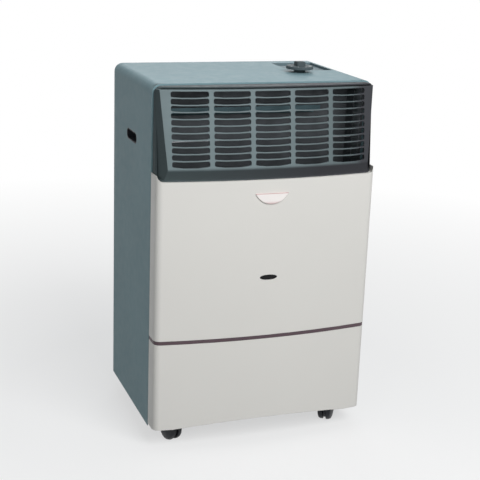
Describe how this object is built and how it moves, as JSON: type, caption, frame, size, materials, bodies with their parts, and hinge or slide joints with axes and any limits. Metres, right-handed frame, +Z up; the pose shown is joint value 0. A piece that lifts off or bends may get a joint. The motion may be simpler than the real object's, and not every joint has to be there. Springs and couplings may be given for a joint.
{
  "type": "portable gas cabinet heater",
  "caption": "Portable gas heater: a steel cabinet on casters with a louvred warm-air grille, a top control knob and a lift-off rear hood over the gas bottle space.",
  "frame": {"origin": "centre of the bounding box at floor level, under the wheels", "axes": "+Z up, the louvre grille faces -Y, the control knob is on the +X side"},
  "size_m": [0.46, 0.431, 0.7615],
  "materials": {
    "teal_paint": "satin",
    "cream_paint": "satin",
    "trim_plastic": "gloss",
    "badge_plate": "satin",
    "window_glass": "gloss",
    "grille_plastic": "satin",
    "black_plastic": "satin",
    "brass": "satin",
    "cast_aluminium": "cast",
    "galvanised_steel": "satin",
    "aluminised_steel": "matte",
    "ceramic": "gloss",
    "copper": "satin"
  },
  "bodies": {
    "cabinet": {"cabinet_wrap": "teal_paint", "base_tray": "teal_paint", "lower_front_panel": "cream_paint", "upper_front_panel": "cream_paint", "trim_strip": "trim_plastic", "badge_plate": "badge_plate", "sight_window": "window_glass", "louvre_grille": "grille_plastic", "side_grip_left": "black_plastic", "side_grip_right": "black_plastic", "control_recess": "grille_plastic", "knob_collar": "black_plastic", "gas_valve_body": "cast_aluminium", "piezo_igniter": "black_plastic", "inlet_nozzle": "brass", "heat_shield": "galvanised_steel", "combustion_chamber": "aluminised_steel", "outlet_duct": "aluminised_steel", "outlet_baffle": "teal_paint", "guard_rod": "galvanised_steel", "burner_tube": "aluminised_steel", "burner_bracket": "galvanised_steel", "pilot_burner": "brass", "spark_electrode": "ceramic", "thermocouple": "copper", "main_gas_pipe": "copper", "pilot_gas_pipe": "copper", "caster_plate_front_left": "galvanised_steel", "caster_plate_front_right": "galvanised_steel", "caster_plate_rear_left": "galvanised_steel", "caster_plate_rear_right": "galvanised_steel"},
    "knob": {"control_knob": "grille_plastic", "valve_spindle": "brass"},
    "selector": {"valve_cam": "galvanised_steel"},
    "rear_hood": {"rear_hood": "teal_paint"},
    "swivel_front_left": {"caster_yoke_front_left": "black_plastic", "caster_axle_front_left": "galvanised_steel"},
    "wheel_a_front_left": {"caster_wheel_a_front_left": "black_plastic"},
    "wheel_b_front_left": {"caster_wheel_b_front_left": "black_plastic"},
    "swivel_front_right": {"caster_yoke_front_right": "black_plastic", "caster_axle_front_right": "galvanised_steel"},
    "wheel_a_front_right": {"caster_wheel_a_front_right": "black_plastic"},
    "wheel_b_front_right": {"caster_wheel_b_front_right": "black_plastic"},
    "swivel_rear_left": {"caster_yoke_rear_left": "black_plastic", "caster_axle_rear_left": "galvanised_steel"},
    "wheel_a_rear_left": {"caster_wheel_a_rear_left": "black_plastic"},
    "wheel_b_rear_left": {"caster_wheel_b_rear_left": "black_plastic"},
    "swivel_rear_right": {"caster_yoke_rear_right": "black_plastic", "caster_axle_rear_right": "galvanised_steel"},
    "wheel_a_rear_right": {"caster_wheel_a_rear_right": "black_plastic"},
    "wheel_b_rear_right": {"caster_wheel_b_rear_right": "black_plastic"}
  },
  "joints": [
    {"name": "selector_turn", "type": "hinge", "parent": "cabinet", "child": "selector", "pos_m": [0.125, -0.0245, 0.68], "axis": [0, 0, 1], "range_deg": [0, 210]},
    {"name": "knob_push", "type": "slide", "parent": "selector", "child": "knob", "axis": [0, 0, -1], "range_m": [0, 0.003], "stiffness_N_per_m": 800, "springref_m": -0.004},
    {"name": "rear_hood_lift", "type": "slide", "parent": "cabinet", "child": "rear_hood", "axis": [0, 0, 1], "range_m": [0, 0.014]},
    {"name": "swivel_front_left", "type": "hinge", "parent": "cabinet", "child": "swivel_front_left", "pos_m": [-0.184, -0.1355, 0.05], "axis": [0, 0, 1], "continuous": true},
    {"name": "spin_a_front_left", "type": "hinge", "parent": "swivel_front_left", "child": "wheel_a_front_left", "pos_m": [-0.1796, -0.15192, 0.025], "axis": [0.9659, 0.2588, 0], "continuous": true},
    {"name": "spin_b_front_left", "type": "hinge", "parent": "swivel_front_left", "child": "wheel_b_front_left", "pos_m": [-0.1796, -0.15192, 0.025], "axis": [0.9659, 0.2588, 0], "continuous": true},
    {"name": "swivel_front_right", "type": "hinge", "parent": "cabinet", "child": "swivel_front_right", "pos_m": [0.184, -0.1355, 0.05], "axis": [0, 0, 1], "continuous": true},
    {"name": "spin_a_front_right", "type": "hinge", "parent": "swivel_front_right", "child": "wheel_a_front_right", "pos_m": [0.17425, -0.14943, 0.025], "axis": [0.8192, -0.5736, 0], "continuous": true},
    {"name": "spin_b_front_right", "type": "hinge", "parent": "swivel_front_right", "child": "wheel_b_front_right", "pos_m": [0.17425, -0.14943, 0.025], "axis": [0.8192, -0.5736, 0], "continuous": true},
    {"name": "swivel_rear_left", "type": "hinge", "parent": "cabinet", "child": "swivel_rear_left", "pos_m": [-0.184, 0.0955, 0.05], "axis": [0, 0, 1], "continuous": true},
    {"name": "spin_a_rear_left", "type": "hinge", "parent": "swivel_rear_left", "child": "wheel_a_rear_left", "pos_m": [-0.1796, 0.11192, 0.025], "axis": [-0.9659, 0.2588, 0], "continuous": true},
    {"name": "spin_b_rear_left", "type": "hinge", "parent": "swivel_rear_left", "child": "wheel_b_rear_left", "pos_m": [-0.1796, 0.11192, 0.025], "axis": [-0.9659, 0.2588, 0], "continuous": true},
    {"name": "swivel_rear_right", "type": "hinge", "parent": "cabinet", "child": "swivel_rear_right", "pos_m": [0.184, 0.0955, 0.05], "axis": [0, 0, 1], "continuous": true},
    {"name": "spin_a_rear_right", "type": "hinge", "parent": "swivel_rear_right", "child": "wheel_a_rear_right", "pos_m": [0.1755, 0.11022, 0.025], "axis": [-0.866, -0.5, 0], "continuous": true},
    {"name": "spin_b_rear_right", "type": "hinge", "parent": "swivel_rear_right", "child": "wheel_b_rear_right", "pos_m": [0.1755, 0.11022, 0.025], "axis": [-0.866, -0.5, 0], "continuous": true}
  ]
}
